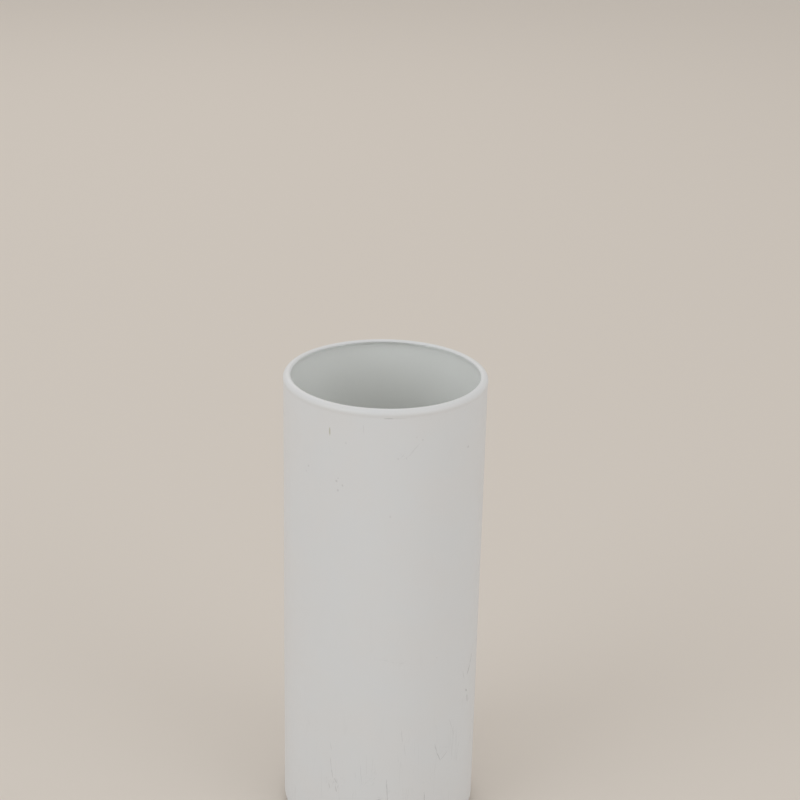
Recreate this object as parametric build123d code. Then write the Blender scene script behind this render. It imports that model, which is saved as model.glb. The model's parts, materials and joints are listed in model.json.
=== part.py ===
from build123d import *
import os
from math import atan2, copysign, cos, degrees, radians, sin, sqrt

# A tall straight cylinder vase for cut flowers.
# A thick-floored clear glass vessel carries a sprayed white lacquer film on its outside,
# and stands on four clear self-adhesive bumper pads stuck to its underside.
# The frame's origin is on the table at the middle of the vase, +Z runs up the vase's axis.
# All sizes are in millimetres.

# Overall
vase_diameter = 127.0        # across the lacquered wall
body_height = 305.0          # lacquered underside to the lacquered crest of the lip

# Lacquer film
lacquer_thickness = 0.3
lacquer_past_crest = 55.0    # degrees that the film runs over the lip's crest towards the bore

# Glass vessel
glass_wall = 4.5
glass_floor = 12.0           # thickness under the edge of the floor
floor_fillet = 9.0           # inside corner between wall and floor
floor_crown = 1.0            # rise of the floor at its middle
heel_radius = 3.5            # outside corner between wall and underside
bearing_ring_width = 18.0    # flat ring of the underside, from the heel inwards
push_up_depth = 2.2          # hollow in the middle of the underside
lip_inner_radius = 2.0       # round of the fire-polished lip, from the bore up to its crest
lip_swell = 0.3              # how far the lip stands out past the wall
neck_radius = 6.0            # hollow blend between the wall and the lip

# Bumper pads
pad_count = 4
pad_diameter = 10.0
pad_height = 2.0
pad_edge_radius = 1.4        # round of the edge that meets the table
first_pad_angle = 45.0

# Sizes that follow
glass_radius = vase_diameter / 2 - lacquer_thickness
inner_radius = glass_radius - glass_wall
glass_underside = pad_height + lacquer_thickness
floor_top = glass_underside + glass_floor
floor_flat_radius = inner_radius - floor_fillet

heel_centre = (glass_radius - heel_radius, glass_underside + heel_radius)
ring_inner_radius = heel_centre[0] - bearing_ring_width
pad_circle_radius = heel_centre[0] - bearing_ring_width / 2

lip_outer_radius = glass_wall + lip_swell - lip_inner_radius
crest_radius = inner_radius + lip_inner_radius
crest_height = pad_height + body_height - lacquer_thickness
inner_lip_centre = (crest_radius, crest_height - lip_inner_radius)
outer_lip_centre = (crest_radius, crest_height - lip_outer_radius)
neck_centre_radius = glass_radius + neck_radius
neck_reach = neck_centre_radius - crest_radius
neck_drop = sqrt((neck_radius + lip_outer_radius) ** 2 - neck_reach**2)
neck_centre = (neck_centre_radius, outer_lip_centre[1] - neck_drop)
neck_angle = degrees(atan2(neck_drop, neck_reach))


def arc(centre, radius, start, end):
    """An arc from one angle to another, in degrees, about a centre in the profile plane."""
    return CenterArc(centre, radius, start, end - start)


def shallow_arc(rim_radius, rim_height, middle_height):
    """A shallow dome or hollow, from the axis at middle_height out to the rim."""
    rise = middle_height - rim_height
    sphere_radius = (rim_radius**2 + rise**2) / (2 * abs(rise))
    fall = sphere_radius - sqrt(sphere_radius**2 - (rim_radius / 2) ** 2)
    halfway = (rim_radius / 2, middle_height - copysign(fall, rise))
    return ThreePointArc((0, middle_height), halfway, (rim_radius, rim_height))


def outer_skin(offset, past_crest):
    """The outside of the vase from the bearing ring over the lip, moved out by an offset.

    past_crest is how many degrees it runs beyond the lip's crest, down towards the bore.
    """
    underside = glass_underside - offset
    ring = Line((ring_inner_radius, underside), (heel_centre[0], underside))
    heel = arc(heel_centre, heel_radius + offset, -90, 0)
    neck = arc(neck_centre, neck_radius - offset, 180, 180 - neck_angle)
    wall = Line(heel @ 1, neck @ 0)
    outer_lip = arc(outer_lip_centre, lip_outer_radius + offset, -neck_angle, 90)
    inner_lip = arc(inner_lip_centre, lip_inner_radius + offset, 90, 90 + past_crest)
    return [ring, heel, wall, neck, outer_lip, inner_lip]


def turned(edges):
    """A solid of revolution about the vase's axis from a closed profile."""
    return revolve(Plane.XZ * make_face(Wire(edges)), Axis.Z, 360)


def glass_vessel():
    skin = outer_skin(0, 90)
    corner = arc((floor_flat_radius, floor_top + floor_fillet), floor_fillet, 0, -90)
    inner_wall = Line(skin[-1] @ 1, corner @ 0)
    floor = shallow_arc(floor_flat_radius, floor_top, floor_top + floor_crown)
    push_up = shallow_arc(ring_inner_radius, glass_underside, glass_underside + push_up_depth)
    axis_line = Line(floor @ 0, push_up @ 0)
    return turned([*skin, inner_wall, corner, floor, axis_line, push_up])


def lacquer_film():
    inside = outer_skin(0, lacquer_past_crest)
    outside = outer_skin(lacquer_thickness, lacquer_past_crest)
    lip_end = Line(inside[-1] @ 1, outside[-1] @ 1)
    ring_end = Line(inside[0] @ 0, outside[0] @ 0)
    return turned([*inside, lip_end, *outside, ring_end])


def bumper_pad(angle):
    centre = (pad_circle_radius * cos(angle), pad_circle_radius * sin(angle), 0)
    pad = Cylinder(pad_diameter / 2, pad_height, align=(Align.CENTER, Align.CENTER, Align.MIN))
    lower_edge = pad.edges().sort_by(Axis.Z)[0]
    return Pos(*centre) * fillet(lower_edge, pad_edge_radius)


parts = {"glass_vessel": glass_vessel(), "white_lacquer": lacquer_film()}
for number in range(pad_count):
    angle = radians(first_pad_angle + number * 360 / pad_count)
    parts[f"bumper_pad_{number + 1}"] = bumper_pad(angle)

os.makedirs("parts", exist_ok=True)
for name, solid in parts.items():
    export_step(solid, f"parts/{name}.step")
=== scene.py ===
import json
from math import atan2, cos, degrees, dist, pi, radians, sin, sqrt

import bmesh
import bpy
from mathutils import Matrix, Vector, noise


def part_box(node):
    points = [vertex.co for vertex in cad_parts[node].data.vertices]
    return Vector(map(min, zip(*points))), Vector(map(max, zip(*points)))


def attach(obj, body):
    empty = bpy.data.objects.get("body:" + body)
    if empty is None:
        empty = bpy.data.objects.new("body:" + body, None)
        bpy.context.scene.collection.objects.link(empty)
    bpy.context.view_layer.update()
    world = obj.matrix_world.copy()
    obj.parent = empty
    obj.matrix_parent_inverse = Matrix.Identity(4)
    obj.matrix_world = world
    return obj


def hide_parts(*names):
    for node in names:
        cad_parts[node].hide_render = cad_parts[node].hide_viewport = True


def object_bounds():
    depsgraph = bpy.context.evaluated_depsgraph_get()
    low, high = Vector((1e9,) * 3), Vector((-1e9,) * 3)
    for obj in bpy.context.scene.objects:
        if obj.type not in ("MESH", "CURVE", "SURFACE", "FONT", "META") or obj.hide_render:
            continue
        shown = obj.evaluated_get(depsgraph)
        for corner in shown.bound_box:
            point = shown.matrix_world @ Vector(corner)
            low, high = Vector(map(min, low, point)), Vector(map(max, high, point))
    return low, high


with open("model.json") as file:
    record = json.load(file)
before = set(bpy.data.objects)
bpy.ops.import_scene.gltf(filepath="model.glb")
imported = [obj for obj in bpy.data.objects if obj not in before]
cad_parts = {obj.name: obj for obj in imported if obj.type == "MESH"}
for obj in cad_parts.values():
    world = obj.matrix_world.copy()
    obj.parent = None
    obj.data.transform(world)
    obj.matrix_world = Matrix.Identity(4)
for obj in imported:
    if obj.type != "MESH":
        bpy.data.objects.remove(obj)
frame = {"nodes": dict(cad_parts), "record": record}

cadLow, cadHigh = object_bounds()
lacquerLow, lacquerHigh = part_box("white_lacquer")
glassLow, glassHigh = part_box("glass_vessel")
mouth = next(m for m in frame["record"]["mounts"] if m["name"] == "mouth")
print(f"frame loaded: the vase stands {cadHigh.z * 1000:.1f} mm tall")

onAxis = 1e-7            # a point nearer the axis than this lies on it, in metres
sharpEdge = 50           # a bend of more degrees than this shows as an edge


def arcPoints(centre, radius, start, end, steps, facing=1):
    # each point is radius, height and the outward direction there
    points = []
    for step in range(steps + 1):
        a = radians(start + (end - start) * step / steps)
        outward = (facing * cos(a), facing * sin(a))
        points.append((centre[0] + radius * cos(a), centre[1] + radius * sin(a), *outward))
    return points


def linePoints(start, end, steps, outward):
    points = []
    for step in range(steps + 1):
        t = step / steps
        radius = start[0] + (end[0] - start[0]) * t
        height = start[1] + (end[1] - start[1]) * t
        points.append((radius, height, *outward))
    return points


def joined(stretches):
    points = list(stretches[0])
    for stretch in stretches[1:]:
        points += stretch[1:]
    return points


def shallowDome(rimRadius, rimHeight, middleHeight, steps):
    # from the rim in to the axis, and level there
    points = []
    for step in range(steps + 1):
        t = step / steps
        lift = 1 - (1 - t) ** 2
        points.append((rimRadius * (1 - t), rimHeight + (middleHeight - rimHeight) * lift))
    return points


def meshPiece(name, mesh):
    data = bpy.data.meshes.new(name)
    mesh.to_mesh(data)
    mesh.free()
    piece = bpy.data.objects.new(name, data)
    bpy.context.scene.collection.objects.link(piece)
    return piece


def turnedMesh(name, profileAt, segments, closed):
    # turns a profile round the vertical axis. profileAt gives it at each angle, so it may vary a little
    mesh = bmesh.new()
    rings = []
    poles = {}
    for segment in range(segments):
        angle = 2 * pi * segment / segments
        ring = []
        for row, (radius, height) in enumerate(profileAt(angle)):
            if radius > onAxis:
                ring.append(mesh.verts.new((radius * sin(angle), -radius * cos(angle), height)))
            else:
                if row not in poles:
                    poles[row] = mesh.verts.new((0, 0, height))
                ring.append(poles[row])
        rings.append(ring)
    count = len(rings[0])
    for segment in range(segments):
        here, there = rings[segment], rings[(segment + 1) % segments]
        for row in range(count if closed else count - 1):
            following = (row + 1) % count
            corners = [here[row], there[row], there[following], here[following]]
            mesh.faces.new([v for i, v in enumerate(corners) if v not in corners[:i]])
    bmesh.ops.recalc_face_normals(mesh, faces=mesh.faces)
    piece = meshPiece(name, mesh)
    piece.data.shade_smooth()
    piece.data.set_sharp_from_angle(angle=radians(sharpEdge))
    return piece


nodeGrid = {"perRow": 12, "across": 190, "down": 260}     # how nodes are laid out in the editor


def place(tree, kind, inputs=None, **settings):
    # adds a node. An input is a plain value, or another node's socket to link
    node = tree.nodes.new(kind)
    down, across = divmod(len(tree.nodes), nodeGrid["perRow"])
    node.location = (nodeGrid["across"] * across, -nodeGrid["down"] * down)
    for name, value in settings.items():
        setattr(node, name, value)
    for name, value in (inputs or {}).items():
        if isinstance(value, bpy.types.NodeSocket):
            tree.links.new(value, node.inputs[name])
        else:
            node.inputs[name].default_value = value
    return node


def maths(tree, operation, *values):
    return place(tree, "ShaderNodeMath", dict(enumerate(values)), operation=operation).outputs[0]


def vectorMaths(tree, operation, *values):
    # the answer is in Vector, or in Value for a length, distance or dot product
    return place(tree, "ShaderNodeVectorMath", dict(enumerate(values)), operation=operation).outputs


def scaled(tree, vector, factor):
    inputs = {"Vector": vector, "Scale": factor}
    return place(tree, "ShaderNodeVectorMath", inputs, operation="SCALE").outputs["Vector"]


def fade(tree, value, start, end, low=0.0, high=1.0):
    # from low at start to high at end, smoothly
    inputs = {"Value": value, "From Min": start, "From Max": end, "To Min": low, "To Max": high}
    return place(tree, "ShaderNodeMapRange", inputs, interpolation_type="SMOOTHSTEP").outputs[0]


def blendColours(tree, share, first, second):
    inputs = {"Factor": share, 6: first, 7: second}       # 6 and 7 are the colour sockets
    return place(tree, "ShaderNodeMix", inputs, data_type="RGBA").outputs[2]


def strongest(tree, masks):
    result = masks[0]
    for mask in masks[1:]:
        result = maths(tree, "MAXIMUM", result, mask)
    return result


def newGroup(name, inputs, outputs):
    group = bpy.data.node_groups.new(name, "ShaderNodeTree")
    for label, (kind, value) in inputs.items():
        socket = group.interface.new_socket(label, in_out="INPUT", socket_type=f"NodeSocket{kind}")
        socket.default_value = value
    for label, kind in outputs.items():
        group.interface.new_socket(label, in_out="OUTPUT", socket_type=f"NodeSocket{kind}")
    return group, group.nodes.new("NodeGroupInput").outputs, group.nodes.new("NodeGroupOutput").inputs


def useGroup(tree, group, inputs=None):
    return place(tree, "ShaderNodeGroup", inputs, node_tree=group).outputs


def makeWallPosition():
    # in millimetres. Around is distance round the wall from the front, then height
    # Shaken is Around with a small unsteadiness, for marks that shouldn't be ruler straight
    group, _, out = newGroup("wallPosition", {}, {
        "Place": "Vector",
        "Around": "Vector",
        "Shaken": "Vector",
        "Height": "Float",
        "Radius": "Float",
    })
    spot = place(group, "ShaderNodeTexCoord").outputs["Object"]
    point = scaled(group, spot, 1000)
    x, y, z = place(group, "ShaderNodeSeparateXYZ", {0: point}).outputs
    turn = maths(group, "ARCTAN2", x, maths(group, "MULTIPLY", y, -1.0))
    level = place(group, "ShaderNodeCombineXYZ", {"X": x, "Y": y}).outputs[0]
    radius = vectorMaths(group, "LENGTH", level)["Value"]
    arc = maths(group, "MULTIPLY", turn, lacquerHigh.x * 1000)
    around = place(group, "ShaderNodeCombineXYZ", {"X": arc, "Y": z}).outputs[0]
    shake = place(group, "ShaderNodeTexNoise", {"Vector": around, "Scale": 0.35, "Detail": 2.0})
    offset = vectorMaths(group, "SUBTRACT", shake.outputs["Color"], (0.5, 0.5, 0.5))["Vector"]
    shaken = vectorMaths(group, "MULTIPLY_ADD", offset, (0.8, 0.8, 0), around)["Vector"]
    results = {"Place": point, "Around": around, "Shaken": shaken, "Height": z, "Radius": radius}
    for label, value in results.items():
        group.links.new(value, out[label])
    return group


def makeHairlines():
    # long fine lines that run up the wall, broken into stretches
    group, into, out = newGroup("hairlines", {
        "Place": ("Vector", (0, 0, 0)),
        "Spacing": ("Float", 4.0),
        "Stretch": ("Float", 12.0),
        "Width": ("Float", 0.03),
        "Breaks": ("Float", 0.55),
        "Shift": ("Float", 0.0),
    }, {"Mask": "Float"})
    across = maths(group, "DIVIDE", 1.0, into["Spacing"])
    upward = maths(group, "DIVIDE", across, into["Stretch"])
    scale = place(group, "ShaderNodeCombineXYZ", {"X": across, "Y": across, "Z": upward}).outputs[0]
    stretched = vectorMaths(group, "MULTIPLY", into["Place"], scale)["Vector"]
    grainInputs = {"Vector": stretched, "W": into["Shift"], "Scale": 1.0, "Detail": 1.5}
    grain = place(group, "ShaderNodeTexNoise", grainInputs, noise_dimensions="4D")
    offLine = maths(group, "ABSOLUTE", maths(group, "SUBTRACT", grain.outputs[0], 0.5))
    line = fade(group, offLine, into["Width"], 0.0)
    patchPlace = vectorMaths(group, "MULTIPLY", into["Place"], (0.09, 0.09, 0.035))["Vector"]
    patchInputs = {"Vector": patchPlace, "W": into["Shift"], "Scale": 1.0, "Detail": 3.0}
    patches = place(group, "ShaderNodeTexNoise", patchInputs, noise_dimensions="4D")
    kept = fade(group, patches.outputs[0], into["Breaks"], maths(group, "ADD", into["Breaks"], 0.08))
    group.links.new(maths(group, "MULTIPLY", line, kept), out["Mask"])
    return group


def makeSpecks():
    # small round specks, scattered and of mixed size
    group, into, out = newGroup("specks", {
        "Place": ("Vector", (0, 0, 0)),
        "Spacing": ("Float", 9.0),
        "Radius": ("Float", 0.4),
        "Share": ("Float", 0.3),
    }, {"Mask": "Float"})
    density = maths(group, "DIVIDE", 1.0, into["Spacing"])
    cells = place(group, "ShaderNodeTexVoronoi", {"Vector": into["Place"], "Scale": density})
    reach = maths(group, "MULTIPLY", cells.outputs["Distance"], into["Spacing"])
    chance, size, _ = place(group, "ShaderNodeSeparateXYZ", {0: cells.outputs["Color"]}).outputs
    radius = maths(group, "MULTIPLY", into["Radius"], maths(group, "ADD", size, 0.35))
    dot = fade(group, reach, radius, maths(group, "MULTIPLY", radius, 0.5))
    kept = maths(group, "LESS_THAN", chance, into["Share"])
    group.links.new(maths(group, "MULTIPLY", dot, kept), out["Mask"])
    return group


def makeStroke():
    # one scratch between two points on the wall. Taper is how much narrower its ends are
    group, into, out = newGroup("stroke", {
        "Shaken": ("Vector", (0, 0, 0)),
        "Start": ("Vector", (0, 0, 0)),
        "End": ("Vector", (0, 10, 0)),
        "Width": ("Float", 0.4),
        "Depth": ("Float", 1.0),
        "Taper": ("Float", 0.65),
    }, {"Mask": "Float"})
    fromStart = vectorMaths(group, "SUBTRACT", into["Shaken"], into["Start"])["Vector"]
    run = vectorMaths(group, "SUBTRACT", into["End"], into["Start"])["Vector"]
    onRun = vectorMaths(group, "DOT_PRODUCT", fromStart, run)["Value"]
    runSquared = vectorMaths(group, "DOT_PRODUCT", run, run)["Value"]
    t = place(group, "ShaderNodeClamp", {"Value": maths(group, "DIVIDE", onRun, runSquared)}).outputs[0]
    off = vectorMaths(group, "DISTANCE", fromStart, scaled(group, run, t))["Value"]
    towardsEnd = maths(group, "ABSOLUTE", maths(group, "SUBTRACT", t, 0.5))
    narrowing = maths(group, "MULTIPLY", into["Taper"], fade(group, towardsEnd, 0.2, 0.5))
    width = maths(group, "MULTIPLY", into["Width"], maths(group, "SUBTRACT", 1.0, narrowing))
    line = fade(group, off, width, maths(group, "MULTIPLY", width, 0.3))
    group.links.new(maths(group, "MULTIPLY", line, into["Depth"]), out["Mask"])
    return group


def makeScuff():
    # a faint rubbed patch of short streaks. Size is half its width and height
    group, into, out = newGroup("scuff", {
        "Around": ("Vector", (0, 0, 0)),
        "Centre": ("Vector", (0, 0, 0)),
        "Size": ("Vector", (10, 4, 1)),
        "Lean": ("Float", 0.0),
        "Depth": ("Float", 1.0),
    }, {"Mask": "Float"})
    local = vectorMaths(group, "SUBTRACT", into["Around"], into["Centre"])["Vector"]
    turning = {"Vector": local, "Angle": into["Lean"]}
    turned = place(group, "ShaderNodeVectorRotate", turning, rotation_type="Z_AXIS").outputs[0]
    shaped = vectorMaths(group, "DIVIDE", turned, into["Size"])["Vector"]
    reach = vectorMaths(group, "LENGTH", shaped)["Value"]
    streakPlace = vectorMaths(group, "MULTIPLY", turned, (0.22, 1.5, 0))["Vector"]
    streaks = place(group, "ShaderNodeTexNoise", {"Vector": streakPlace, "Scale": 1.0, "Detail": 3.0})
    rubbed = fade(group, streaks.outputs[0], 0.5, 0.68)
    depth = maths(group, "MULTIPLY", fade(group, reach, 1.0, 0.2), into["Depth"])
    group.links.new(maths(group, "MULTIPLY", depth, rubbed), out["Mask"])
    return group


def makeMottle():
    # slow uneven variation about zero, for handling marks, haze and dust
    group, into, out = newGroup("mottle", {
        "Place": ("Vector", (0, 0, 0)),
        "Spacing": ("Float", 30.0),
        "Roughening": ("Float", 0.55),
    }, {"Value": "Float"})
    scale = maths(group, "DIVIDE", 1.0, into["Spacing"])
    inputs = {"Vector": into["Place"], "Scale": scale, "Detail": 4.0, "Roughness": into["Roughening"]}
    cloud = place(group, "ShaderNodeTexNoise", inputs)
    group.links.new(maths(group, "SUBTRACT", cloud.outputs[0], 0.5), out["Value"])
    return group


wallPosition = makeWallPosition()
hairlines = makeHairlines()
specks = makeSpecks()
stroke = makeStroke()
scuff = makeScuff()
mottle = makeMottle()
print("effects built: position, hairlines, specks, strokes, scuffs and mottling")


def shaded(name):
    material = bpy.data.materials.new(name)
    material.use_nodes = True
    tree = material.node_tree
    tree.nodes.clear()
    output = tree.nodes.new("ShaderNodeOutputMaterial")
    return material, tree, output


def letLampsThrough(tree, output, shader, tint):
    # light from lamps and off matt surfaces goes straight through, so the inside isn't left dark
    through = place(tree, "ShaderNodeBsdfTransparent", {"Color": tint}).outputs[0]
    path = place(tree, "ShaderNodeLightPath").outputs
    bounced = place(tree, "ShaderNodeMixShader", {0: path["Is Diffuse Ray"], 1: shader, 2: through})
    lit = place(tree, "ShaderNodeMixShader", {0: path["Is Shadow Ray"], 1: bounced.outputs[0], 2: through})
    tree.links.new(lit.outputs[0], output.inputs["Surface"])


# The vessel. Its height, widest radius and bore come from the frame.
# Here and below, shapes are in metres and finishes in millimetres.
glassVessel = {
    "segments": 288,
    "lipSwell": 0.0003,        # how far the lip stands out past the wall
    "lipInner": 0.002,         # round of the lip from the bore to its crest
    "neckRadius": 0.006,       # hollow blend between wall and lip
    "heelRadius": 0.0035,
    "ringWidth": 0.018,        # flat bearing ring, from the heel inwards
    "pushUp": 0.0022,          # hollow in the middle of the underside
    "floorThickness": 0.012,
    "floorFillet": 0.009,
    "floorCrown": 0.001,
    "rows": {               # rows of faces along each stretch of the profile
        "ring": 12,
        "heel": 14,
        "wall": 72,
        "neck": 8,
        "outerLip": 16,
        "innerLip": 12,
        "dome": 14,
        "fillet": 14,
    },
    "outerWander": 0.00010,    # how far the blown wall wanders from a true cylinder
    "boreWander": 0.00018,
    "boreEasing": 0.02,        # the bore comes true over this length below the lip
    "wanderAround": 1.3,       # how fast the wall wanders, round and up
    "wanderUp": 9,
    "lipWander": 0.00014,      # rise and fall of the lip's crest
    "lipWaves": 1.7,
    "lipBand": 0.025,          # how far down the wall follows it
    "tint": (0.975, 0.99, 0.983, 1),
    "lampTint": (0.985, 0.996, 0.99, 1),   # what lamps lose on their way through
    "ior": 1.52,
    "polish": 0.015,           # roughness of clean glass
    "waterLine": 205.0,        # height of the hard-water haze left by the last bunch
    "waterEdge": (1.5, -1.0),  # above and below that line, where the haze starts and is full
    "hazeBand": 42.0,          # it thins over this height below the line
    "hazeBelow": 0.25,         # and this share is left there
    "haze": 0.16,
    "hazeSpacing": 18.0,
    "hazeWander": 9.0,         # unevenness of the water line
    "spots": {"Spacing": 5.0, "Radius": 0.9, "Share": 0.35},
    "spotShare": 0.5,
    "ripple": {"Spacing": 24.0, "Roughening": 0.3},
    "rippleBump": {"Strength": 0.12, "Distance": 0.001},
}
boreRadius = mouth["dims"]["r_mm"] / 1000
filmThickness = glassLow.z - lacquerLow.z
glassRadius = lacquerHigh.x - filmThickness - glassVessel["lipSwell"]
crestHeight = glassHigh.z
undersideHeight = glassLow.z
ringEdge = glassRadius - glassVessel["heelRadius"] - glassVessel["ringWidth"]


def skinPath(innerEdge, pastCrest):
    # the vessel's outside, from the bearing ring's inner edge up over the lip
    shape, rows = glassVessel, glassVessel["rows"]
    heel = (glassRadius - shape["heelRadius"], undersideHeight + shape["heelRadius"])
    crestRadius = boreRadius + shape["lipInner"]
    lipOuter = glassRadius + shape["lipSwell"] - crestRadius
    outerLip = (crestRadius, crestHeight - lipOuter)
    innerLip = (crestRadius, crestHeight - shape["lipInner"])
    reach = glassRadius + shape["neckRadius"] - crestRadius
    drop = sqrt((shape["neckRadius"] + lipOuter) ** 2 - reach**2)
    neck = (glassRadius + shape["neckRadius"], outerLip[1] - drop)
    turn = degrees(atan2(drop, reach))
    return joined([
        linePoints((innerEdge, undersideHeight), (heel[0], undersideHeight), rows["ring"], (0, -1)),
        arcPoints(heel, shape["heelRadius"], -90, 0, rows["heel"]),
        linePoints((glassRadius, heel[1]), (glassRadius, neck[1]), rows["wall"], (1, 0)),
        arcPoints(neck, shape["neckRadius"], 180, 180 - turn, rows["neck"], facing=-1),
        arcPoints(outerLip, lipOuter, -turn, 90, rows["outerLip"]),
        arcPoints(innerLip, shape["lipInner"], 90, 90 + pastCrest, rows["innerLip"]),
    ])


def wander(angle, height, size, seed):
    # slow unevenness round and up the vase, the same wherever two skins meet
    around, up = glassVessel["wanderAround"], glassVessel["wanderUp"]
    spot = Vector((around * cos(angle) + seed, around * sin(angle), height * up + seed))
    return size * noise.noise(spot)


def lipRise(angle, height):
    band, waves = glassVessel["lipBand"], glassVessel["lipWaves"]
    nearLip = min(max((height - crestHeight + band) / band, 0), 1) ** 2
    rise = noise.noise(Vector((waves * cos(angle), waves * sin(angle), 4.1)))
    return nearLip * glassVessel["lipWander"] * rise


def buildGlassVessel():
    shape, rows = glassVessel, glassVessel["rows"]
    floorTop = undersideHeight + shape["floorThickness"]
    flatRadius = boreRadius - shape["floorFillet"]
    corner = (flatRadius, floorTop + shape["floorFillet"])
    lipStart = crestHeight - shape["lipInner"]
    outside = skinPath(ringEdge, 90)
    pushUp = shallowDome(ringEdge, undersideHeight, undersideHeight + shape["pushUp"], rows["dome"])
    floor = shallowDome(flatRadius, floorTop, floorTop + shape["floorCrown"], rows["dome"])
    wall = linePoints((boreRadius, lipStart), (boreRadius, corner[1]), rows["wall"], (-1, 0))
    fillet = arcPoints(corner, shape["floorFillet"], 0, -90, rows["fillet"], facing=-1)

    def profileAt(angle):
        points = pushUp[::-1]
        for radius, height, *_ in outside[1:]:
            swell = wander(angle, height, shape["outerWander"], 0)
            points.append((radius + radius / glassRadius * swell, height + lipRise(angle, height)))
        for radius, height, *_ in [*wall[1:], *fillet[1:]]:
            belowLip = min((lipStart - height) / shape["boreEasing"], 1)
            swell = wander(angle, height, shape["outerWander"], 0)
            swell += belowLip * wander(angle, height, shape["boreWander"], 7)
            points.append((radius + radius / boreRadius * swell, height))
        return points + floor[1:]

    return turnedMesh("glassVessel", profileAt, shape["segments"], closed=False)


def makeClearGlass():
    look = glassVessel
    material, tree, output = shaded("clearSodaGlass")
    position = useGroup(tree, wallPosition)
    spot = position["Place"]
    cloud = useGroup(tree, mottle, {"Place": spot, "Spacing": look["hazeSpacing"]})["Value"]
    level = maths(tree, "ADD", position["Height"], maths(tree, "MULTIPLY", cloud, look["hazeWander"]))
    waterLine = look["waterLine"]
    above, below = look["waterEdge"]
    under = fade(tree, level, waterLine + above, waterLine + below)
    thinning = fade(tree, level, waterLine - look["hazeBand"], waterLine, look["hazeBelow"], 1.0)
    patchy = fade(tree, cloud, -0.2, 0.2, 0.4, 1.0)
    film = maths(tree, "MULTIPLY", maths(tree, "MULTIPLY", under, thinning), patchy)
    spots = useGroup(tree, specks, {"Place": spot, **look["spots"]})["Mask"]
    dried = maths(tree, "MAXIMUM", film, maths(tree, "MULTIPLY", spots, look["spotShare"]))
    ripple = useGroup(tree, mottle, {"Place": spot, **look["ripple"]})["Value"]
    bump = place(tree, "ShaderNodeBump", {"Height": ripple, **look["rippleBump"]})
    glass = place(tree, "ShaderNodeBsdfPrincipled", {
        "Base Color": look["tint"],
        "Roughness": maths(tree, "ADD", maths(tree, "MULTIPLY", dried, look["haze"]), look["polish"]),
        "IOR": look["ior"],
        "Transmission Weight": 1.0,
        "Normal": bump.outputs[0],
    })
    letLampsThrough(tree, output, glass.outputs[0], look["lampTint"])
    return material


# Marks on the lacquer: distance round from the front and height above the table, in millimetres.
scratches = [
    # start, end, width, depth
    ((39, 72), (41, 65), 0.36, 0.7),
    ((41, 65), (44, 58), 0.45, 0.8),
    ((44, 58), (50, 62), 0.36, 0.65),
    ((-32, 63), (-31, 55), 0.32, 0.6),
    ((-31, 55), (-30, 48), 0.40, 0.65),
    ((-33, 43), (-32, 39), 0.55, 0.5),
    ((-29, 48), (-27, 45), 0.60, 0.6),
    ((-28, 42), (-27, 38), 0.55, 0.6),
    ((6, 52), (7, 38), 0.36, 0.9),
    ((7, 38), (6, 27), 0.45, 0.9),
    ((32, 38), (33, 24), 0.38, 0.9),
    ((77, 123), (74, 116), 0.42, 1.3),
    ((74, 116), (70, 110), 0.60, 1.3),
    ((69, 100), (70, 98), 0.80, 1.4),
    ((71, 95), (72, 89), 0.70, 0.9),
    ((64, 116), (66, 109), 0.42, 0.5),
    ((51, 86), (54, 78), 0.30, 0.45),
    ((54, 78), (56, 72), 0.34, 0.45),
    ((15, 88), (16, 78), 0.32, 0.4),
    ((17, 77), (18, 68), 0.32, 0.3),
    ((-32, 74), (-31, 68), 0.34, 0.35),
    ((-11, 62), (-10, 48), 0.34, 0.3),
    ((0, 302), (6, 302), 0.45, 0.9),
    ((5, 302), (14, 302), 0.32, 0.35),
    ((-12, 297), (-12, 292), 0.32, 0.3),
    ((15, 277), (22, 285), 0.55, 0.26),
]
specksOnWall = [
    # centre, radius, depth
    ((-51, 262), 0.9, 0.55),
    ((-53, 258), 0.7, 0.3),
    ((-28, 260), 0.6, 0.35),
    ((-29, 258), 0.9, 0.6),
    ((-25, 256), 0.9, 0.5),
    ((-28, 252), 1.0, 0.5),
    ((-23, 284), 0.9, 0.3),
    ((5, 238), 0.9, 0.3),
    ((60, 274), 1.0, 0.6),
    ((24, 287), 0.8, 0.4),
    ((20, 289), 0.7, 0.3),
    ((9, 276), 0.7, 0.3),
    ((14, 276), 0.7, 0.3),
]
stain = ((-34, 292), (-34, 287), 0.62, 0.68)     # a short dab of leaf sap
scuffs = [
    # centre, half width and height, lean in degrees, depth
    ((8, 138), (15, 3), -10, 0.2),
    ((11, 277.5), (5, 4), 50, 0.25),
    ((1, 37), (3.5, 3.0), 0, 0.7),
    ((-30, 44), (5, 10), 80, 0.4),
    ((70, 92), (5, 14), 85, 0.3),
    ((-5, 52), (14, 7), 60, 0.2),
    ((48, 66), (9, 6), 40, 0.25),
]

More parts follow.
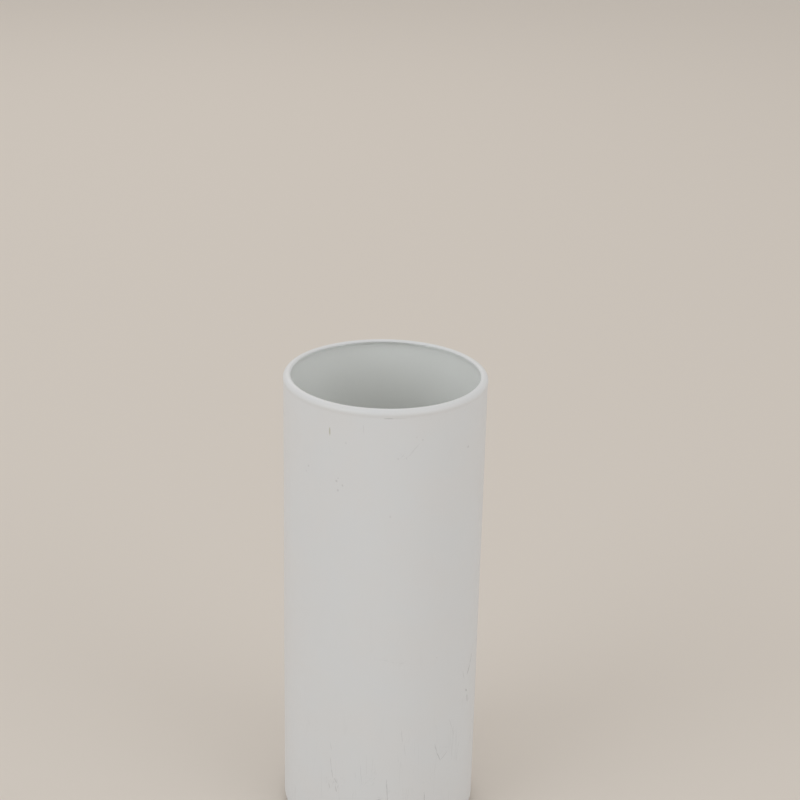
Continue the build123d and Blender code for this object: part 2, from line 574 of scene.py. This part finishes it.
# The film that is sprayed on the vessel.
whiteLacquer = {
    "pastCrest": 55,           # degrees that it runs over the crest towards the bore
    "pastCrestWander": 5,      # unevenness of the masked edge there, in degrees
    "ringWander": 0.0005,      # and round the bearing ring
    "edgeWaves": 2.5,
    "feather": 0.0016,         # the last stretch of film thins over this length
    "featheredTo": 0.06,       # to this share of its thickness
    "grip": 0.00006,           # how deep its inner face sits in the glass
    "white": (0.692, 0.706, 0.719, 1),
    "warmWhite": (0.698, 0.701, 0.705, 1),
    "innerWhitePaintedBright": (0.86, 0.86, 0.85, 1),       # the clean face against the glass, painted lighter than the outer white: painted light that brightens the vase's inside
    "markColour": (0.34, 0.34, 0.345, 1),
    "sapColour": (0.42, 0.40, 0.28, 1),
    # painted contact shade: the heel darkens and browns towards the table
    "heelShadeColour": (0.50, 0.44, 0.37, 1),
    "heelShadeShare": 0.35,
    "heelShadeHeight": (6.0, 2.2),                 # painted shade at the heel starts at the first height and is full at the second
    "heelShadeWander": 5.0,
    "hairlines": {"Spacing": 5.0, "Stretch": 16.0, "Width": 0.02, "Breaks": 0.5},
    "fineHairlines": {"Spacing": 2.2, "Stretch": 5.0, "Width": 0.02, "Breaks": 0.6, "Shift": 3.7},
    "hairlineStrength": 0.13,
    "wornBelow": 105.0,        # the lower wall carries most of the hairlines, up to this height
    "dots": {"Spacing": 26.0, "Radius": 0.45, "Share": 0.4},
    "dotStrength": 0.40,
    "speckLength": 0.2,
    "underFade": 2.0,          # the wall's marks die away over this width under the heel
    "scratchStrength": 0.55,
    "skipSpacing": 1.1,        # a scratch skips over the film's texture
    "scuffStrength": 0.8,
    "cloudSpacing": 45.0,
    "fineSpacing": 6.0,
    "roughness": (0.34, 0.47),
    "markRoughening": 0.2,
    "peelSpacing": 1.7,        # orange peel of the sprayed film
    "peelBump": {"Strength": 0.10, "Distance": 0.0002},
    "markBump": {"Strength": 0.5, "Distance": 0.00015},
    "ior": 1.48,
}


def buildWhiteLacquer():
    film, waves = whiteLacquer, whiteLacquer["edgeWaves"]

    def profileAt(angle):
        around = Vector((waves * cos(angle), waves * sin(angle), 1.7))
        pastCrest = film["pastCrest"] + film["pastCrestWander"] * noise.noise(around)
        path = skinPath(ringEdge + film["ringWander"] * noise.noise(around * 2), pastCrest)
        fromStart = [0]
        for before, after in zip(path, path[1:]):
            fromStart.append(fromStart[-1] + dist(before[:2], after[:2]))
        outer, inner = [], []
        for along, (radius, height, outR, outZ) in zip(fromStart, path):
            fromEdge = min(along, fromStart[-1] - along) / film["feather"]
            fullness = sqrt(min(fromEdge, 1))
            thin = filmThickness * (film["featheredTo"] + (1 - film["featheredTo"]) * fullness)
            radius += radius / glassRadius * wander(angle, height, glassVessel["outerWander"], 0)
            height += lipRise(angle, height)
            outer.append((radius + outR * thin, height + outZ * thin))
            inner.append((radius - outR * film["grip"], height - outZ * film["grip"]))
        return outer + inner[::-1]

    piece = turnedMesh("whiteLacquer", profileAt, glassVessel["segments"], closed=True)
    # 1 on the face that shows outside, 0 on the one against the glass
    half = len(profileAt(0)) // 2
    outerFace = piece.data.attributes.new("outerFace", "FLOAT", "POINT")
    outerFace.data.foreach_set("value", ([1.0] * half + [0.0] * half) * glassVessel["segments"])
    return piece


def strokeMask(tree, shaken, start, end, width, depth, **more):
    inputs = {"Start": (*start, 0), "End": (*end, 0), "Width": width, "Depth": depth, **more}
    return useGroup(tree, stroke, {"Shaken": shaken, **inputs})["Mask"]


def drawnMarks(tree, position, shaken):
    # the scratches, specks and scuffs that have a place of their own
    look = whiteLacquer
    drawn = [strokeMask(tree, shaken, *scratch) for scratch in scratches]
    for (across, height), radius, depth in specksOnWall:
        end = (across, height + look["speckLength"])
        drawn.append(strokeMask(tree, shaken, (across, height), end, radius, depth, Taper=0.0))
    rubbed = []
    for centre, size, lean, depth in scuffs:
        inputs = {"Centre": (*centre, 0), "Size": (*size, 1), "Lean": radians(-lean), "Depth": depth}
        rubbed.append(useGroup(tree, scuff, {"Around": position["Around"], **inputs})["Mask"])
    skips = useGroup(tree, mottle, {"Place": position["Place"], "Spacing": look["skipSpacing"]})["Value"]
    kept = fade(tree, skips, -0.2, -0.02, 0.45, 1.0)
    scratched = maths(tree, "MULTIPLY", strongest(tree, drawn), kept)
    return [
        maths(tree, "MULTIPLY", scratched, look["scratchStrength"]),
        maths(tree, "MULTIPLY", strongest(tree, rubbed), look["scuffStrength"]),
    ]


def scatteredMarks(tree, position):
    # hairlines and dots all the way round
    look, spot = whiteLacquer, position["Place"]
    low = fade(tree, position["Height"], look["wornBelow"], look["wornBelow"] * 0.3, 0.12, 1.0)
    fineAndCoarse = []
    for lines in (look["hairlines"], look["fineHairlines"]):
        mask = useGroup(tree, hairlines, {"Place": spot, **lines})["Mask"]
        fineAndCoarse.append(maths(tree, "MULTIPLY", mask, low))
    dots = useGroup(tree, specks, {"Place": spot, **look["dots"]})["Mask"]
    return [
        maths(tree, "MULTIPLY", strongest(tree, fineAndCoarse), look["hairlineStrength"]),
        maths(tree, "MULTIPLY", dots, look["dotStrength"]),
    ]


def makeWhiteLacquer():
    look = whiteLacquer
    # nearer the axis than the heel's edge is the underside
    heelEdge = (glassRadius - glassVessel["heelRadius"]) * 1000
    material, tree, output = shaded("satinWhiteLacquer")
    position = useGroup(tree, wallPosition)
    spot = position["Place"]
    shaken = vectorMaths(tree, "MULTIPLY", position["Shaken"], (1, 1, 0))["Vector"]
    onOutside = place(tree, "ShaderNodeAttribute", attribute_name="outerFace").outputs["Fac"]
    pastHeel = fade(tree, position["Radius"], heelEdge, heelEdge + look["underFade"])
    onWall = maths(tree, "MULTIPLY", onOutside, pastHeel)
    every = drawnMarks(tree, position, shaken) + scatteredMarks(tree, position)
    marks = maths(tree, "MULTIPLY", strongest(tree, every), onWall)
    stained = maths(tree, "MULTIPLY", strokeMask(tree, shaken, *stain), onWall)

    cloud = useGroup(tree, mottle, {"Place": spot, "Spacing": look["cloudSpacing"]})["Value"]
    fine = useGroup(tree, mottle, {"Place": spot, "Spacing": look["fineSpacing"]})["Value"]
    ground = blendColours(tree, fade(tree, cloud, -0.2, 0.25), look["white"], look["warmWhite"])
    # painted contact shade: the lacquer gets darker and browner towards the table along the heel
    level = maths(tree, "ADD", position["Height"], maths(tree, "MULTIPLY", fine, look["heelShadeWander"]))
    heelShade = maths(tree, "MULTIPLY", fade(tree, level, *look["heelShadeHeight"]), look["heelShadeShare"])
    ground = blendColours(tree, heelShade, ground, look["heelShadeColour"])
    ground = blendColours(tree, stained, ground, look["sapColour"])
    # the face against the glass takes the inner white, painted lighter as painted light inside the vase
    ground = blendColours(tree, onOutside, look["innerWhitePaintedBright"], ground)

    smooth, rough = look["roughness"]
    sheen = fade(tree, maths(tree, "ADD", cloud, fine), -0.25, 0.25, smooth, rough)
    worn = maths(tree, "MULTIPLY", marks, look["markRoughening"])
    peel = useGroup(tree, mottle, {"Place": spot, "Spacing": look["peelSpacing"]})["Value"]
    peelBump = place(tree, "ShaderNodeBump", {"Height": peel, **look["peelBump"]})
    dents = maths(tree, "MULTIPLY", marks, -1.0)
    dented = {"Height": dents, "Normal": peelBump.outputs[0], **look["markBump"]}
    markBump = place(tree, "ShaderNodeBump", dented)
    shader = place(tree, "ShaderNodeBsdfPrincipled", {
        "Base Color": blendColours(tree, marks, ground, look["markColour"]),
        "Roughness": maths(tree, "ADD", sheen, worn),
        "Normal": markBump.outputs[0],
        "IOR": look["ior"],
    })
    tree.links.new(shader.outputs[0], output.inputs["Surface"])
    return material


# The pads under the bearing ring.
bumperPad = {
    "segments": 64,
    "rows": {"flat": 8, "edge": 12, "side": 6, "top": 6},
    "edgeRadius": 0.0014,
    "sideBulge": 0.00004,      # the soft side swells a little under the vase's weight
    "shoulder": 0.0001,        # narrow step from the side to the adhesive
    "adhesive": 0.00015,       # thickness of the adhesive layer
    "adhesiveMargin": 0.0004,  # and how far it stays inside the pad's edge
    "stuckIn": 0.00003,        # how far it sinks into the lacquer
    "tint": (0.93, 0.935, 0.92, 1),
    "lampTint": (0.9, 0.905, 0.89, 1),
    "gritColour": (0.45, 0.42, 0.38, 1),
    "grit": {"Spacing": 1.6, "Radius": 0.12, "Share": 0.2},
    "gritShare": 0.5,
    "gritRoughening": 0.3,
    "roughness": (0.12, 0.26),
    "cloudSpacing": 2.5,
    "skinBump": {"Strength": 0.08, "Distance": 0.0001},
    "ior": 1.49,
    "transmission": 0.9,
}


def buildBumperPad(number):
    pad, rows = bumperPad, bumperPad["rows"]
    node = f"bumper_pad_{number}"
    low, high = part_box(node)
    radius = (high.x - low.x) / 2
    inner = radius - pad["edgeRadius"]
    edgeTop = low.z + pad["edgeRadius"]
    layer = high.z - pad["adhesive"]
    top = high.z + pad["stuckIn"]
    stickRadius = radius - pad["adhesiveMargin"]
    outline = [(inner * step / rows["flat"], low.z) for step in range(rows["flat"] + 1)]
    edge = arcPoints((inner, edgeTop), pad["edgeRadius"], -90, 0, rows["edge"])
    outline += [point[:2] for point in edge[1:]]
    for step in range(1, rows["side"] + 1):
        t = step / rows["side"]
        outline.append((radius + pad["sideBulge"] * sin(pi * t), edgeTop + (layer - edgeTop) * t))
    outline += [(radius - pad["shoulder"], layer), (stickRadius, layer), (stickRadius, top)]
    outline += [(stickRadius * (1 - step / rows["top"]), top) for step in range(1, rows["top"] + 1)]
    piece = turnedMesh(f"bumperPad{number}", lambda angle: outline, pad["segments"], closed=False)
    centre = (low + high) / 2
    piece.data.transform(Matrix.Translation((centre.x, centre.y, 0)))
    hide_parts(node)
    return piece


def makeClearPad():
    look = bumperPad
    material, tree, output = shaded("clearPolyurethane")
    spot = useGroup(tree, wallPosition)["Place"]
    cloud = useGroup(tree, mottle, {"Place": spot, "Spacing": look["cloudSpacing"]})["Value"]
    grit = useGroup(tree, specks, {"Place": spot, **look["grit"]})["Mask"]
    gritShare = maths(tree, "MULTIPLY", grit, look["gritShare"])
    gritty = maths(tree, "MULTIPLY", grit, look["gritRoughening"])
    bump = place(tree, "ShaderNodeBump", {"Height": cloud, **look["skinBump"]})
    shader = place(tree, "ShaderNodeBsdfPrincipled", {
        "Base Color": blendColours(tree, gritShare, look["tint"], look["gritColour"]),
        "Roughness": maths(tree, "ADD", fade(tree, cloud, -0.2, 0.2, *look["roughness"]), gritty),
        "IOR": look["ior"],
        "Transmission Weight": look["transmission"],
        "Normal": bump.outputs[0],
    })
    letLampsThrough(tree, output, shader.outputs[0], look["lampTint"])
    return material


glassVesselPiece = buildGlassVessel()
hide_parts("glass_vessel")
whiteLacquerPiece = buildWhiteLacquer()
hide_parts("white_lacquer")
padNodes = [name for name in frame["nodes"] if name.startswith("bumper_pad_")]
padPieces = [buildBumperPad(number + 1) for number in range(len(padNodes))]
for piece in (glassVesselPiece, whiteLacquerPiece, *padPieces):
    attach(piece, "root")
print(f"pieces built: vessel, lacquer film and {len(padPieces)} pads")

glassVesselPiece.data.materials.append(makeClearGlass())
whiteLacquerPiece.data.materials.append(makeWhiteLacquer())
padMaterial = makeClearPad()
for piece in padPieces:
    piece.data.materials.append(padMaterial)
print("materials built: satin lacquer, clear glass and clear pads")

studio = {
    "floorRadius": 16.0,
    "floorSegments": 96,
    "floorColour": (0.68, 0.63, 0.575, 1),
    "floorRoughness": 0.75,
    "floorGloss": 0.25,
    "skyColour": (1.0, 0.972, 0.94, 1),
    "skyStrength": 0.70,
}
softLights = {
    # name: place, size, power in watts, colour
    "keyLight": ((-2.2, -1.7, 1.5), 2.2, 20, (0.90, 0.955, 1.0)),
    "fillLight": ((2.2, -1.7, 1.4), 2.2, 14, (0.90, 0.955, 1.0)),
    "backLight": ((-0.6, 2.4, 2.2), 2.0, 9, (1.0, 0.98, 0.95)),
}
camera = {
    "lookAt": (0.0092, 0.0, 0.2888),
    "distance": 1.106,
    "downward": 21.69,         # degrees
    "roll": 1.30,
    "lens": 79.65,
    "sensor": 36,
    "clipEnd": 100,
}


def buildFloor():
    mesh = bmesh.new()
    segments, radius = studio["floorSegments"], studio["floorRadius"]
    bmesh.ops.create_circle(mesh, cap_ends=True, segments=segments, radius=radius)
    floor = meshPiece("studioFloor", mesh)
    floor.data.transform(Matrix.Translation((0, 0, cadLow.z)))
    material, tree, output = shaded("paleFloor")
    shader = place(tree, "ShaderNodeBsdfPrincipled", {
        "Base Color": studio["floorColour"],
        "Roughness": studio["floorRoughness"],
        "Specular IOR Level": studio["floorGloss"],
    })
    tree.links.new(shader.outputs[0], output.inputs["Surface"])
    floor.data.materials.append(material)


def buildLights():
    world = bpy.data.worlds.new("softRoom")
    world.use_nodes = True
    background = world.node_tree.nodes["Background"]
    background.inputs["Color"].default_value = studio["skyColour"]
    background.inputs["Strength"].default_value = studio["skyStrength"]
    bpy.context.scene.world = world
    aim = Vector((0, 0, cadHigh.z / 2))
    for name, (spot, size, power, colour) in softLights.items():
        light = bpy.data.lights.new(name, "AREA")
        light.shape = "DISK"
        light.size = size
        light.energy = power
        light.color = colour
        lamp = bpy.data.objects.new(name, light)
        lamp.location = spot
        lamp.rotation_euler = (aim - Vector(spot)).to_track_quat("-Z", "Y").to_euler()
        bpy.context.scene.collection.objects.link(lamp)


def buildCamera():
    down = radians(camera["downward"])
    roll = radians(camera["roll"])
    forward = Vector((0, cos(down), -sin(down)))
    right = Vector((cos(roll), 0, 0)) + sin(roll) * Vector((0, sin(down), cos(down)))
    up = right.cross(forward)
    data = bpy.data.cameras.new("mainCamera")
    data.sensor_width = camera["sensor"]
    data.lens = camera["lens"]
    data.clip_end = camera["clipEnd"]
    piece = bpy.data.objects.new("mainCamera", data)
    turn = Matrix((right, up, -forward)).transposed()
    spot = Vector(camera["lookAt"]) - camera["distance"] * forward
    piece.matrix_world = Matrix.Translation(spot) @ turn.to_4x4()
    bpy.context.scene.collection.objects.link(piece)
    bpy.context.scene.camera = piece


buildFloor()
buildLights()
buildCamera()
bpy.context.scene.view_settings.view_transform = "Standard"
print("studio built: floor, lights and camera")
